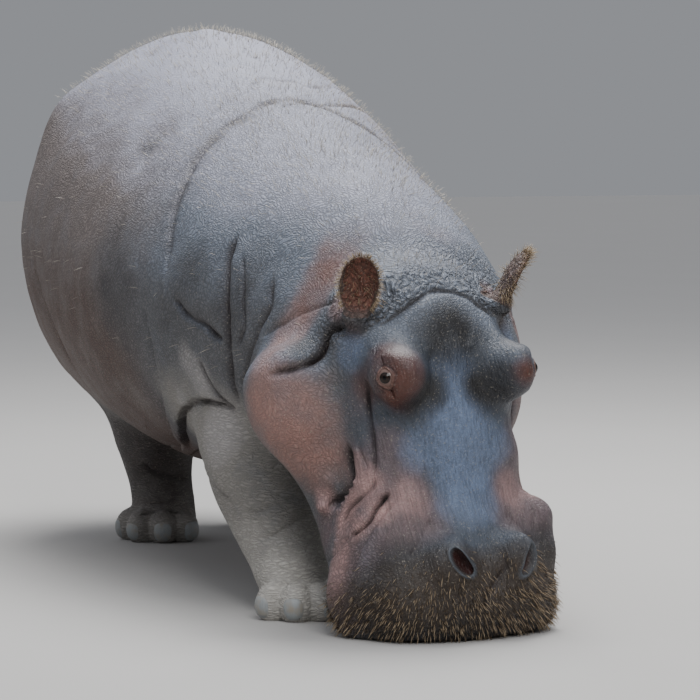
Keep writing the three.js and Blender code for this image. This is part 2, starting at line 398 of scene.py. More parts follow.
def beside(line, reach):
    # Points near a line: which, how far across it (left of its way is negative), and how far along.
    inBox = ((points > line.min(0) - reach) & (points < line.max(0) + reach)).all(1)
    chosen = np.flatnonzero(inBox)
    step = np.diff(line, axis=0)
    found = []
    for part in np.array_split(chosen, max(1, len(chosen) * len(step) // 2000000)):
        offset = points[part][:, None] - line[:-1]
        t = np.clip((offset * step).sum(2) / (step**2).sum(1), 0, 1)
        gap = offset - t[..., None] * step
        distance = length(gap)
        best = distance.argmin(1)
        rows = np.arange(len(part))
        turn = (gap[rows, best] * np.cross(step[best], smoothNormals[part])).sum(1)
        close = distance[rows, best] < reach
        found.append((part[close], (np.sign(turn) * distance[rows, best])[close],
                      ((best + t[rows, best]) / len(step))[close]))
    return [np.concatenate(column) for column in zip(*found)]


def sidePoint(y, z, sign):
    hit = formTree.ray_cast(Vector((sign * 2, y, z)), Vector((-sign, 0, 0)))[0]
    return onSkin((sign * 0.3, y, z)) if hit is None else np.array(hit)


# What a fold has unless it says otherwise: a twin on the other side, ends that run out over this share of its
# length, and a soft valley this deep beside its groove.
usualFold = {"twin": True, "taper": 0.15, "valley": 0.5}


def drawnLines(folds, kind):
    for line, width, depth, left, right, reach, *own in folds.values():
        sizes = {"width": width, "depth": depth, "left": left, "right": right, "reach": reach}
        fold = {**usualFold, **sizes, **(own[0] if own else {})}
        if kind == "side":
            for sign in fold["signs"]:
                yield fold, [sidePoint(y, z, sign) for y, z in line], sign
            continue
        places = [pixelPoint(formTree, pixel) for pixel in line]
        yield fold, places, 1
        if fold["twin"]:
            yield fold, acrossBody(places, kind), -1


# Swellings and hollows: the pixel, its radius and height in millimetres.
swellings = {
    "lipOverGround": ((342, 600), 62, 30, False), "lipCornerLow": ((356, 632), 45, 14, False),
    "knob": ((324, 506), 18, 18, True), "fleshAboveKnob": ((331, 482), 20, 8, True),
    "lowerLip": ((329, 540), 26, 7, True), "cheekRidge": ((356, 452), 13, 5, True),
    "browOuter": ((370, 356), 32, 13, True), "browTop": ((398, 342), 28, 6, True),
    "browSide": ((367, 378), 18, 7, True), "browLow": ((398, 404), 22, 5, True),
    "leftCheek": ((507, 452), 65, 20, False), "leftPad": ((535, 516), 52, 42, False),
    "leftPadLow": ((546, 552), 42, 20, False), "rightPad": ((418, 503), 45, 7, False),
    "nostrilMound": ((457, 540), 22, 9, False), "nostrilMoundLeft": ((522, 540), 26, 10, False),
    "shoulder": ((205, 240), 150, 10, True), "neckSide": ((330, 215), 110, 10, True),
    "jowl": ((285, 430), 70, 8, True), "hip": ((70, 160), 120, 8, True),
    "noseTop": ((470, 522), 40, 5, False), "spine": ((250, 62), 45, 6, False),
    "hindRoll": ((150, 450), 40, 12, False),
    "sacrum": ((206, 34), 48, 13, False), "behindSacrum": ((147, 50), 62, -16, False),
    "beforeSacrum": ((258, 53), 50, -8, False), "rumpCorner": ((62, 110), 110, 26, False),
}
# The ribbed edge of the lower lip.
lipRibs = [(353, 482), (348, 489), (344, 496), (341, 503), (338, 510), (342, 518), (341, 526), (339, 534), (337, 542)]
swellings.update({"rib" + str(k): (pixel, 7, 6, True) for k, pixel in enumerate(lipRibs)})
lift = np.zeros(len(points))
for pixel, radius, height, twin in swellings.values():
    place = pixelPoint(formTree, pixel)
    centres = [place] + (acrossBody([place], "head" if pixel[0] > 300 else "body") if twin else [])
    for centre in centres:
        lift += height * mm * hump(length(points - centre), radius * mm)
eyeRing = {"height": 14 * mm, "radius": 34 * mm, "width": 24 * mm}
for side in sides:
    lift += eyeRing["height"] * hump(length(points - eyes[side]) - eyeRing["radius"], eyeRing["width"])
points = points + smoothNormals * lift[:, None]
setPoints(mesh, points)
formTree = treeOf(points, mesh)
smoothNormals = unitOf(relax(normalsOf(mesh), edges, 0.6, 6))
print("swellings")

# Each fold is its line in pixels, then its width, its depth, how far the skin is lifted left and right of the
# line and how far that carries, in millimetres.
headFolds = {
    "faceSide": ([(364, 372), (365, 385), (367, 400), (370, 421), (373, 445), (374, 462), (371, 480)], 5, 9, 2, 3,
        18),
    "faceSideLow": ([(357, 444), (362, 458), (368, 470)], 5, 5, 2, 2, 10),
    "knobHollow": ([(346, 440), (348, 463), (349, 480), (342, 494), (334, 502), (327, 512)], 8, 14, 0, 12, 16),
    "mouthSlit": ([(391, 491), (382, 501), (374, 511), (368, 522), (358, 531), (348, 537)], 5, 14, 8, 4, 24),
    "lowerMouth": ([(352, 536), (342, 544), (335, 554), (328, 564)], 5, 5, 4, 2, 18),
    "lipEdge": ([(398, 498), (384, 514), (371, 532), (362, 548), (357, 562), (350, 580)], 5, 4, 4, 0, 18),
    "lipCorner": ([(374, 474), (372, 487), (360, 498), (348, 509), (341, 526)], 5, 9, 3, 3, 12),
    "browValley": ([(431, 347), (434, 365), (433, 385), (424, 403), (412, 414)], 17, 7, 0, 0, 10, {"valley": 0}),
    "padLine": ([(432, 517), (426, 530), (418, 545), (408, 560)], 9, 3, 0, 2, 20),
    "eyeBag": ([(366, 377), (371, 392), (380, 405), (392, 417)], 4, 3, 1, 1, 10),
    "earStalk": ([(384, 280), (385, 300), (380, 314), (368, 322), (355, 320)], 4, 4, 1, 2, 8),
    "earStalkOuter": ([(391, 285), (392, 303), (384, 318), (370, 326)], 5, 4, 2, 1, 9),
    "foreheadArch": ([(371, 328), (386, 323), (403, 311), (416, 301), (433, 291), (449, 291), (466, 296), (479,
        305), (496, 315)], 7, 5, 4, 0, 25, {"twin": False}),
    "noseRidge": ([(454, 375), (461, 400), (467, 430), (472, 470), (477, 510)], 45, -5, 0, 0, 30, {"twin": False,
        "taper": 0.4, "valley": 0}),
    "betweenEyes": ([(440, 340), (458, 334), (474, 340)], 28, 7, 0, 0, 30, {"twin": False, "valley": 0}),
    "lipSplit": ([(497, 545), (505, 566), (498, 580), (488, 598), (485, 616)], 6, 6, 1, 1, 15, {"twin": False}),
}
bodyFolds = {
    "belt": ([(306, 96), (286, 98), (263, 104), (240, 117), (219, 130), (201, 150), (186, 176), (173, 211), (168,
        237), (166, 265), (168, 290)], 15, 8, 0, 9, 50),
    "beltTwin": ([(270, 112), (291, 103), (311, 103), (331, 105), (349, 106), (367, 113), (379, 122)], 6, 6, 2, 2,
        18, {"twin": False}),
    "upperBelt": ([(234, 94), (250, 84), (265, 77), (281, 80), (298, 81), (316, 87), (342, 90)], 8, 4, 2, 2, 20,
        {"twin": False}),
    "flankHollow": ([(189, 117), (170, 127), (153, 142), (141, 160), (135, 178), (130, 199)], 55, 14, 0, 0, 40,
        {"taper": 0.5, "valley": 0}),
    "neckFold": ([(241, 227), (234, 242), (227, 262), (226, 288), (227, 326), (229, 364), (234, 390), (240, 412)],
        8, 13, 5, 6, 26),
    "neckFoldInner": ([(243, 250), (243, 285), (243, 324), (239, 340), (236, 352)], 6, 7, 3, 5, 16),
    "cheekEdge": ([(274, 271), (270, 295), (268, 308), (259, 326), (250, 350), (245, 372), (242, 395)], 8, 11, 8, 0,
        26),
    "roll": ([(346, 324), (333, 328), (326, 336), (322, 347), (318, 356), (306, 364), (292, 368), (280, 370), (265,
        377)], 8, 17, 4, 9, 28),
    "rollTop": ([(342, 298), (329, 303), (316, 308), (300, 314), (286, 321), (272, 330), (260, 339)], 8, 5, 4, 0,
        20),
    "elbowHollow": ([(171, 297), (180, 309), (189, 318), (204, 326), (214, 336), (224, 342)], 9, 10, 3, 5, 26),
    "elbowFold": ([(197, 357), (204, 372), (214, 387), (227, 402), (238, 412)], 7, 9, 5, 4, 20, {"twin": False}),
    "arch": ([(190, 448), (184, 432), (183, 416), (187, 407), (194, 402), (206, 400), (222, 404), (232, 410), (241,
        418)], 5, 15, 18, 0, 34, {"twin": False, "valley": 0.25}),
    "flap": ([(136, 290), (141, 303), (147, 318), (153, 347), (160, 378), (164, 398), (167, 412), (172, 425), (180,
        441), (189, 454), (199, 463)], 6, 3, 8, -9, 34, {"twin": False}),
    "legBack": ([(190, 440), (193, 452), (200, 463), (207, 477), (216, 488), (232, 504), (246, 516)], 6, 5, 2, 2,
        14, {"twin": False}),
    "hindFold": ([(141, 462), (152, 471), (168, 476), (188, 477)], 7, 8, 8, 0, 30, {"twin": False}),
    "hindFoldUpper": ([(137, 446), (148, 452), (160, 451), (172, 445)], 5, 6, 4, 2, 16, {"twin": False}),
    "hindAnkle": ([(137, 516), (154, 511), (175, 512), (198, 519)], 5, 5, 3, 2, 14, {"twin": False}),
    "hindAnkleUpper": ([(138, 507), (156, 504), (178, 505), (200, 508)], 4, 3, 1, 1, 10, {"twin": False}),
    "wristFold": ([(259, 539), (274, 534), (291, 523), (310, 512)], 4, 4, 2, 1, 10, {"twin": False}),
    "wristFoldUpper": ([(243, 509), (257, 512), (282, 503), (298, 495)], 4, 3, 1, 1, 10, {"twin": False}),
}
# Folds given in side view, as metres along and up, on the left side (1) or the right (-1).
sideFolds = {
    "stifle": ([(0.50, 0.36), (0.49, 0.45), (0.53, 0.58), (0.62, 0.70), (0.74, 0.80)], 20, 7, 5, 0, 60, {"signs":
        (1, -1), "taper": 0.4}),
    "thighBack": ([(1.07, 0.40), (1.10, 0.50), (1.10, 0.62)], 16, 6, 0, 4, 40, {"signs": (1, -1), "taper": 0.4}),
    "leftArch": ([(-0.17, 0.40), (-0.18, 0.50), (-0.26, 0.57), (-0.38, 0.59), (-0.50, 0.55), (-0.58, 0.46)], 10, 12,
        0, 12, 34, {"signs": (1,), "taper": 0.3}),
    "leftElbow": ([(-0.16, 0.58), (-0.24, 0.66), (-0.38, 0.70), (-0.52, 0.66)], 17, 6, 0, 6, 40, {"signs": (1,),
        "taper": 0.4}),
}

creaseShade = np.zeros(len(points))
lift = np.zeros(len(points))
wander = {"head": 1.2, "body": 4.0, "side": 4.0}  # how far a fold strays from its line
for folds, kind in ((headFolds, "head"), (bodyFolds, "body"), (sideFolds, "side")):
    for fold, places, turn in drawnLines(folds, kind):
        width = fold["width"] * mm
        line = curved(places, max(3 * mm, 0.6 * width))
        line += np.array([noise.noise_vector(place) for place in (line / 0.035).tolist()]) * wander[kind] * mm
        uneven = 0.85 + 0.5 * np.array([noise.noise(place) for place in (line / 0.05).tolist()])
        chosen, across, along = beside(line, max(3 * width, 3 * fold["reach"] * mm))
        across = across * turn
        ends = smoothStep(0, fold["taper"], along) * smoothStep(1, 1 - fold["taper"], along)
        ends = ends * np.interp(along * (len(line) - 1), np.arange(len(line)), uneven)
        groove = np.exp(-np.abs(across / width) ** 1.5)
        raised = np.where(across > 0, fold["right"], fold["left"])
        raised = raised * np.exp(-np.abs(across) / (fold["reach"] * mm)) * smoothStep(0, width, np.abs(across))
        valley = np.exp(-np.abs(across / (3.2 * width)) ** 2) * fold["valley"]
        lift[chosen] += ends * mm * (raised - fold["depth"] * (groove + valley))
        if 0 < fold["depth"] and fold["width"] < 16:  # broad hollows and ridges are not dark
            dark = 0.75 * groove + 0.4 * valley / max(usualFold["valley"], fold["valley"])
            creaseShade[chosen] = np.maximum(creaseShade[chosen], ends * dark * min(1, fold["depth"] / 14))
points = points + smoothNormals * lift[:, None]
print("folds")

# Uneven flesh, and the pebbled skin of the poll, so that no part is as even as a cast: size in metres and
# height in millimetres.
unevenness = [(0.13, 3.2), (0.045, 1.1)]
pebble = {"size": 0.016, "height": 2.6}
for size, height in unevenness:
    bumps = np.array([noise.noise(place) for place in (points / size).tolist()])
    points = points + smoothNormals * (bumps * height * mm)[:, None]
archLine = [pixelPoint(formTree, pixel) for pixel in headFolds["foreheadArch"][0]]
archX, archY, _ = (toHead(np.array(archLine)) / mm).T


def behindArch(spots):
    return smoothStep(-8, 14, spots[:, 1] - np.interp(spots[:, 0], archX, archY))


spots = toHead(points) / mm
_, y, z = spots.T
pebbled = behindArch(spots) * smoothStep(75, 40, y) * smoothStep(-230, -120, z) * (earShade < 0.2)
some = np.flatnonzero(pebbled > 0.02)
gaps = np.array([noise.voronoi(place)[0][:2] for place in (points[some] / pebble["size"]).tolist()])
raised = smoothStep(0, 0.5, gaps[:, 1] - gaps[:, 0]) * pebble["height"] * mm * pebbled[some]
points[some] += smoothNormals[some] * raised[:, None]
print("unevenness")

# Eyelids: the skin round each eye closes on the ball, save for an oval opening

# Sizes in millimetres, angles in radians at the middle of the ball.
lids = {
    "axis": (0.80, -0.20, 0.565), "ball": 24.0, "halfLength": 1.04, "upper": 0.74, "lower": 0.68,
    "hidden": 18.0, "rim": 27.0, "behindRim": (28, 31, 35, 40), "blendFrom": 0.7, "blendTo": 1.35,
    "foldAt": 0.52, "foldDepth": 3.2,
}
eyeFrames = {}
lidShade = np.zeros(len(points))
for side, mirror in sides.items():
    axis = unitOf(headTurn @ (np.array(lids["axis"]) * mirror))
    forward = headTurn @ np.array([0, -1.0, 0])
    forward = unitOf(forward - axis * (forward @ axis))
    upward = np.cross(axis, forward) * mirror[0]
    eyeFrames[side] = (axis, forward, upward)
    offset = points - eyes[side]
    distance = length(offset)
    chosen = np.flatnonzero((distance < 75 * mm) & (offset @ axis > 0))
    offset, distance = offset[chosen], distance[chosen]
    ahead = np.arctan2(offset @ forward, offset @ axis) / lids["halfLength"]
    above = np.arctan2(offset @ upward, offset @ axis)
    above /= np.where(above > 0, lids["upper"], lids["lower"]) * (1 - 0.25 * np.clip(ahead, 0, 1))
    ring = np.hypot(ahead, above) - 1
    reachOut = np.interp(
        ring, [-0.3, -0.12, -0.02, 0.08, 0.24, 0.40, 0.7, 1.0, 1.3],
        [lids["hidden"], lids["hidden"], lids["ball"] + 0.6, lids["rim"], lids["rim"], *lids["behindRim"]],
    ) * mm
    fold = hump(ring - lids["foldAt"], 0.1) * np.where(above > 0, 1.0, 0.6)
    reachOut = reachOut - lids["foldDepth"] * mm * fold
    creaseShade[chosen] = np.maximum(creaseShade[chosen], 0.7 * fold * smoothStep(60, 40, distance / mm))
    near = np.maximum(smoothStep(0.75, 0.5, ring), smoothStep(52, 37, distance / mm))
    share = smoothStep(lids["blendTo"], lids["blendFrom"], ring) * near
    newDistance = distance * (1 - share) + reachOut * share
    points[chosen] = eyes[side] + offset / distance[:, None] * newDistance[:, None]
    lidShade[chosen] = np.maximum(lidShade[chosen], hump(ring - 0.12, 0.16))
print("eyelids")

# Nostrils: long oval pits with a raised rim

nostrils = {
    "right": ((461, 562), (472, 576)), "left": ((530, 559), (526, 571)),  # the middle, then the lower end
    "halfLength": 33, "halfWidth": 13, "depth": 32, "reach": 75,
    "rim": 4, "rimWidth": 0.3, "innerRim": 4, "outward": (0.74, -0.2, 0.64),
}
nostrilShade, nostrilRim = np.zeros(len(points)), np.zeros(len(points))
nostrilTree = treeOf(points, mesh)
for side, mirror in sides.items():
    middle, end = [pixelPoint(nostrilTree, pixel) for pixel in nostrils[side]]
    outward = unitOf(headTurn @ (np.array(nostrils["outward"]) * mirror))
    inner = -headTurn @ np.array([mirror[0], 0, 0])
    lengthWay = unitOf(end - middle - outward * ((end - middle) @ outward))
    chosen = np.flatnonzero(length(points - middle) < nostrils["reach"] * mm)
    offset = (points[chosen] - middle) / mm
    ring = np.hypot(offset @ lengthWay / nostrils["halfLength"],
                    offset @ np.cross(outward, lengthWay) / nostrils["halfWidth"])
    pit = np.sqrt(np.clip(1 - ring**2, 0, 1)) * nostrils["depth"]
    rim = nostrils["rim"] + nostrils["innerRim"] * smoothStep(-5, 15, offset @ inner)
    rim = rim * hump(np.maximum(ring - 1.15, 0), nostrils["rimWidth"]) * smoothStep(0.9, 1.15, ring)
    points[chosen] += outward * ((rim - pit) * mm)[:, None]
    nostrilShade[chosen] = np.maximum(nostrilShade[chosen], smoothStep(1.02, 0.8, ring))
    nostrilRim[chosen] = np.maximum(nostrilRim[chosen], hump(ring - 1.12, 0.16))
print("nostrils")

points[:, 2] = np.maximum(points[:, 2], 0)
setPoints(mesh, points)
skin = placed("skin", mesh)
shadeSmooth(mesh)
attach(skin, "root")
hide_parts(*fleshNodes)

# Material tools


def linear(code):
    parts = [int(code[i:i + 2], 16) / 255 for i in (1, 3, 5)]
    return [c / 12.92 if c <= 0.04045 else ((c + 0.055) / 1.055) ** 2.4 for c in parts] + [1]


def newMaterial(name):
    material = bpy.data.materials.new(name)
    material.use_nodes = True
    return material, material.node_tree, material.node_tree.nodes["Principled BSDF"]


def addNode(tree, kind, inputs=(), output=None, **settings):
    # Gives the output that is named, or else the first one in use.
    node = tree.nodes.new("ShaderNode" + kind)
    for key, value in settings.items():
        setattr(node, key, value)
    for key, value in inputs.items() if isinstance(inputs, dict) else enumerate(inputs):
        if isinstance(value, bpy.types.NodeSocket):
            tree.links.new(value, node.inputs[key])
        else:
            node.inputs[key].default_value = value
    return node.outputs[output] if output else next(socket for socket in node.outputs if socket.enabled)


# Where each colour of the hide lies

# Each patch is a pixel of the camera's frame, a radius in millimetres, how strong it is there and, if it
# differs, how strong it is on the other side of the animal.
patches = {
    "mauve": [((394, 474), 60, 0.9), ((410, 505), 65, 0.9), ((385, 445), 45, 0.7), ((430, 520), 50, 0.7),
              ((375, 545), 60, 0.9), ((360, 400), 40, 0.4), ((345, 555), 60, 0.9), ((338, 600), 70, 0.9),
              ((400, 530), 50, 0.7), ((350, 520), 60, 0.9), ((535, 505), 50, 0.8), ((325, 532), 50, 0.9)],
    "rosy": [((284, 425), 110, 0.9), ((305, 458), 80, 0.8), ((262, 400), 70, 0.8), ((276, 345), 60, 0.6),
             ((300, 320), 50, 0.4), ((318, 292), 60, 0.5), ((335, 262), 60, 0.5)],
    "red": [((404, 378), 72, 1, 0.2), ((408, 398), 52, 1, 0.1), ((382, 352), 40, 0.6, 0.1), ((527, 372), 26, 1, 0),
            ((368, 385), 40, 0.7, 0.2), ((335, 262), 60, 0.35), ((318, 292), 60, 0.4), ((350, 240), 60, 0.3),
            ((350, 330), 30, 0.4), ((522, 470), 30, 0.8, 0)],
    "pink": [((366, 484), 36, 0.9), ((350, 500), 38, 0.8), ((378, 512), 30, 1), ((343, 522), 34, 0.8),
             ((362, 528), 26, 0.9), ((338, 556), 44, 0.7), ((330, 590), 48, 0.6), ((332, 620), 36, 0.5),
             ((356, 466), 34, 0.6), ((340, 306), 32, 0.7), ((325, 500), 30, 0.6), ((410, 498), 44, 0.5)],
    # blackAndShade: near-black skin, with painted shade in the hollows between and under the brows and under the
    # muzzle.
    "blackAndShade": [((458, 338), 62, 0.8), ((452, 313), 40, 0.6, 0), ((414, 400), 26, 0.5), ((434, 388), 34, 0.9),
              ((491, 392), 50, 0.9), ((500, 375), 30, 0.6, 0), ((425, 575), 70, 0.8), ((440, 615), 100, 0.9),
              ((500, 615), 100, 0.9),
              ((400, 625), 80, 0.9), ((506, 575), 50, 0.8), ((540, 590), 60, 0.7), ((393, 560), 44, 0.7),
              ((372, 595), 60, 0.6)],
    # paintedShade: painted shade, darker grey where the body's hollows and lower sides fall into shade.
    "paintedShade": [((190, 270), 70, 0.6), ((300, 345), 45, 0.7), ((110, 270), 120, 0.6), ((120, 310), 100, 0.6),
              ((232, 300), 70, 0.6), ((255, 260), 60, 0.4), ((165, 320), 60, 0.4),
              ((150, 145), 45, 0.4), ((245, 120), 30, 0.5), ((215, 142), 30, 0.5), ((185, 190), 30, 0.4),
              ((300, 470), 45, 0.5), ((318, 490), 40, 0.5)],
    # dustAndBrowHighlight: pale dust on the elbows, legs and belly, and a painted highlight on the brow top at (402,
    # 350).
    "dustAndBrowHighlight": [((200, 376), 42, 0.8), ((222, 426), 62, 0.9, 0), ((182, 400), 30, 0.5, 0), ((187, 360), 40, 0.6, 0),
              ((216, 442), 50, 0.8, 0), ((140, 400), 70, 0.25, 0), ((402, 350), 26, 0.4)],
    # paintedSheen: a painted reflection of the cool sky down the nose bridge, on the brows and on the temple.
    "paintedSheen": [((352, 352), 40, 0.6), ((455, 371), 46, 0.7), ((466, 415), 60, 1), ((465, 460), 60, 1),
              ((460, 500), 60, 0.7), ((420, 450), 50, 0.6)],
}


def patchMask(name):
    clear = np.ones(len(points))
    for pixel, radius, amount, *other in patches[name]:
        place = pixelPoint(skinTree, pixel)
        mirrored = fromHead(toHead(place) * acrossHead) if pixel[0] > 300 else place * acrossHead
        for centre, strong in ((place, amount), (mirrored, other[0] if other else amount)):
            away = length(points - centre) / (radius * mm)
            clear *= 1 - strong * smoothStep(1.8, 0.1, away)
    return 1 - clear


points, normals = pointsOf(mesh), normalsOf(mesh)
skinTree = treeOf(points, mesh)
spots = toHead(points) / mm
legMask = np.zeros(len(points))
for name, (footX, footY, _) in feet.items():
    foot = np.array([footX, footY, 0.0])
    leg = np.array(joints[name]) - foot
    share = np.clip((points - foot) @ leg / (leg @ leg), 0, 1)
    away = length(points - foot - share[:, None] * leg)
    legMask = np.maximum(legMask, smoothStep(0.25, 0.16, away) * smoothStep(0.58, 0.42, points[:, 2]))
# Hind legs darker: wet skin, and painted shade under the belly.
hindWetShaded = smoothStep(0.1, 0.4, points[:, 1]) * smoothStep(0.04, 0.12, points[:, 2])
x, y, z = spots.T
faceMask = smoothStep(-60, -120, y) * smoothStep(-300, -190, z) * smoothStep(225, 175, np.abs(x))
masks = {
    "rear": smoothStep(-0.45, 0.15, points[:, 1]),
    # low: brown of the belly and lower flanks, and painted shade where they face down.
    "low": smoothStep(0.98, 0.55, points[:, 2]) * smoothStep(0.5, -0.3, normals[:, 2])
    * smoothStep(-0.4, -0.1, points[:, 1]),
    # paintedShadeLowFront: painted shade, darker grey on the downward-facing chest and forelegs.
    "paintedShadeLowFront": smoothStep(0.95, 0.65, points[:, 2]) * smoothStep(0.6, -0.1, normals[:, 2])
    * smoothStep(0.0, -0.3, points[:, 1]),
    # paintedTopLight: painted light, paler lilac-grey where the high surfaces face the sky.
    "paintedTopLight": smoothStep(0.35, 0.9, normals[:, 2]) * smoothStep(0.7, 1.0, points[:, 2]),
    "dust": legMask * smoothStep(-0.95, -0.85, points[:, 1]) * (1 - 0.9 * hindWetShaded),
    "face": faceMask,
    "muzzle": smoothStep(-520, -640, y) * smoothStep(-0.02, 0.1, points[:, 2]),
    "pebble": behindArch(spots) * smoothStep(190, 90, y) * smoothStep(-260, -120, z),
    # paintedCreaseShade: painted shade in the grooves of the folds and in the eyelid fold.
    "paintedCreaseShade": creaseShade, "lid": lidShade, "nostrilRim": nostrilRim, "nostril": nostrilShade,
    "ear": earShade, "cup": cupShade, "rim": rimShade,
    "wetShadedLeg": legMask * hindWetShaded, "anyLeg": legMask,
    "paleFoot": smoothStep(0.28, 0.05, points[:, 2]) * smoothStep(-1.0, -0.9, points[:, 1])
    * (1 - 0.75 * smoothStep(0.1, 0.4, points[:, 1])),
}
masks.update({name: patchMask(name) for name in patches})
smoothTop = smoothStep(0.45, 0.9, normals[:, 2]) * smoothStep(-0.1, 0.3, points[:, 1])
masks["bodyHide"] = (1 - 0.6 * faceMask) * (1 - 0.8 * legMask) * (1 - 0.6 * masks["rosy"]) * (1 - 0.6 * smoothTop)
for name, values in masks.items():
    saveMask(mesh, name, values)
saveMask(mesh, "headSpot", spots * mm, "FLOAT_VECTOR", "vector")

# Thick bare hide, dried and dusty on the body and bare and half polished on the face: it reads as
# matt grey-brown leather of small polygons. A cool sheen of sky is painted into its colour where it is stretched
# smooth, painted light lies on its top, and painted shade lies in its hollows, creases, wrinkles and undersides.
hide = {
    "base": "#6b7380",
    "layers": [("rear", "#786e6b", 0.5), ("low", "#57423a", 0.5), ("paintedShadeLowFront", "#5c5d61", 0.5),
               ("paintedTopLight", "#8f91a0", 0.4), ("paintedShade", "#434448", 0.5), ("face", "#424a56", 0.4),
               ("rosy", "#9c776e", 0.6), ("mauve", "#6a595b", 0.5), ("red", "#5a342a", 0.5),
               ("paintedSheen", "#6a7a95", 0.6), ("pink", "#b9938e", 0.4), ("blackAndShade", "#242324", 0.4),
               ("muzzle", "#3d332b", 0.4), ("dust", "#918d87", 0.6), ("dustAndBrowHighlight", "#a8a4a2", 0.5),
               ("wetShadedLeg", "#46403e", 0.6), ("paleFoot", "#bdb9b2", 0.6),
               ("ear", "#6e5a54", 0.4), ("rim", "#9c8474", 0.3), ("cup", "#835445", 0.5),
               # nostril: dark red-brown lining, with painted shade deepening the pits.
               ("lid", "#76564c", 0.3), ("nostrilRim", "#4b5057", 0.4), ("nostril", "#35110e", 0.2),
               ("paintedCreaseShade", "#332a2b", 0.2)],
    "breakup": 70, "bend": 90, "waver": 17, "faceGrain": 6.25, "specks": 4.2, "pores": 4.5,  # mm across
    "bendBy": 0.09, "waverBy": 0.014,  # metres
    "grainHeight": 4.5, "poreHeight": 1.3,  # mm
    "roughBody": 0.62, "roughFace": 0.42, "roughMottle": 0.25,
    "dustSpecks": "#a59d90",
}


material, tree, shader = newMaterial("bareHideDusty")
place = addNode(tree, "TexCoord", output="Object")
breakup = addNode(tree, "TexNoise", {"Vector": place, "Scale": 1000 / hide["breakup"], "Detail": 6, "Roughness": 0.6})
mottle = addNode(tree, "Math", [breakup, 0.5], operation="SUBTRACT")
colour = addNode(tree, "RGB")
colour.default_value = linear(hide["base"])
for name, code, ragged in hide["layers"]:
    value = addNode(tree, "Attribute", output="Fac", attribute_name=name)
    shifted = addNode(tree, "Math", [mottle, ragged * 2, value], operation="MULTIPLY_ADD")
    gate = addNode(tree, "Math", [value, 3.0], operation="MULTIPLY", use_clamp=True)
    gate = addNode(tree, "Math", [shifted, gate], operation="MULTIPLY", use_clamp=True)
    colour = addNode(tree, "Mix", {0: gate, 6: colour, 7: linear(code)}, data_type="RGBA")

# Wrinkles that part the hide into small polygons: spacing and depth in millimetres, how dark the painted shade
# in them is, where they lie and how they are drawn out.
slow = addNode(tree, "TexNoise", {"Vector": place, "Scale": 1000 / hide["bend"], "Detail": 1}, "Color")
quick = addNode(tree, "TexNoise", {"Vector": place, "Scale": 1000 / hide["waver"], "Detail": 2}, "Color")
waved = addNode(tree, "VectorMath", [quick, (hide["waverBy"],) * 3, place], operation="MULTIPLY_ADD")
bent = addNode(tree, "VectorMath", [slow, (hide["bendBy"],) * 3, waved], operation="MULTIPLY_ADD")
heights, shade = [], None
for cell, depth, dark, mask, stretch, drawn in [
    (17, 2.6, 0.45, "pebble", (1, 1, 1), bent),
    (8, 1.2, 0.42, "bodyHide", (1, 0.5, 1.15), bent),
    (5.5, 1.6, 0.26, "anyLeg", (0.2, 0.2, 1.0), waved),  # lines across the legs
    (7, 1.2, 0.18, "rosy", (1.0, 0.5, 0.5), bent),
]:
    scaled = addNode(tree, "VectorMath", [drawn, stretch], operation="MULTIPLY")
    cells = addNode(tree, "TexVoronoi", {"Vector": scaled, "Scale": 1000 / cell}, feature="DISTANCE_TO_EDGE")
    edge = addNode(tree, "MapRange", [cells, 0.0, 0.28], interpolation_type="SMOOTHSTEP")
    cover = addNode(tree, "Attribute", output="Fac", attribute_name=mask)
    raised = addNode(tree, "Math", [edge, depth], operation="MULTIPLY")
    heights.append(addNode(tree, "Math", [raised, cover], operation="MULTIPLY"))
    inGap = addNode(tree, "Math", [1.0, edge], operation="SUBTRACT")
    # dirt here is painted shade, darkening the gaps between the polygons.
    dirt = addNode(tree, "Math", [cover, dark], operation="MULTIPLY")
    dirt = addNode(tree, "Math", [inGap, dirt], operation="MULTIPLY")
    unshaded = addNode(tree, "Math", [1.0, dirt], operation="SUBTRACT")
    shade = addNode(tree, "Math", [shade, unshaded], operation="MULTIPLY") if shade else unshaded

# The face has fine lines that run down it, and dust lies in specks all over.
headPlaceNode = addNode(tree, "Attribute", output="Vector", attribute_name="headSpot")
longLines = addNode(tree, "VectorMath", [headPlaceNode, (1, 0.08, 1)], operation="MULTIPLY")
grain = addNode(tree, "TexNoise", {"Vector": longLines, "Scale": 1000 / hide["faceGrain"], "Detail": 4,
                                   "Roughness": 0.65})
isFace = addNode(tree, "Attribute", output="Fac", attribute_name="face")
streak = addNode(tree, "MapRange", [grain, 0.55, 0.36, 0.0, 0.32])
streak = addNode(tree, "Math", [streak, isFace], operation="MULTIPLY")
streak = addNode(tree, "Math", [1.0, streak], operation="SUBTRACT")
shade = addNode(tree, "Math", [shade, streak], operation="MULTIPLY")
colour = addNode(tree, "Mix", {0: 1.0, 6: colour, 7: shade}, data_type="RGBA", blend_type="MULTIPLY")
specks = addNode(tree, "TexNoise", {"Vector": place, "Scale": 1000 / hide["specks"], "Detail": 3})
specks = addNode(tree, "MapRange", [specks, 0.61, 0.7, 0.0, 0.4])
colour = addNode(tree, "Mix", {0: specks, 6: colour, 7: linear(hide["dustSpecks"])}, data_type="RGBA")
tree.links.new(colour, shader.inputs["Base Color"])
raised = addNode(tree, "Math", [grain, hide["grainHeight"]], operation="MULTIPLY")
heights.append(addNode(tree, "Math", [raised, isFace], operation="MULTIPLY"))
pores = addNode(tree, "TexNoise", {"Vector": place, "Scale": 1000 / hide["pores"], "Detail": 5, "Roughness": 0.65})
heights.append(addNode(tree, "Math", [pores, hide["poreHeight"]], operation="MULTIPLY"))
total = heights[0]
for height in heights[1:]:
    total = addNode(tree, "Math", [total, height], operation="ADD")
bump = addNode(tree, "Bump", {"Height": total, "Distance": 1 * mm, "Strength": 1.0})
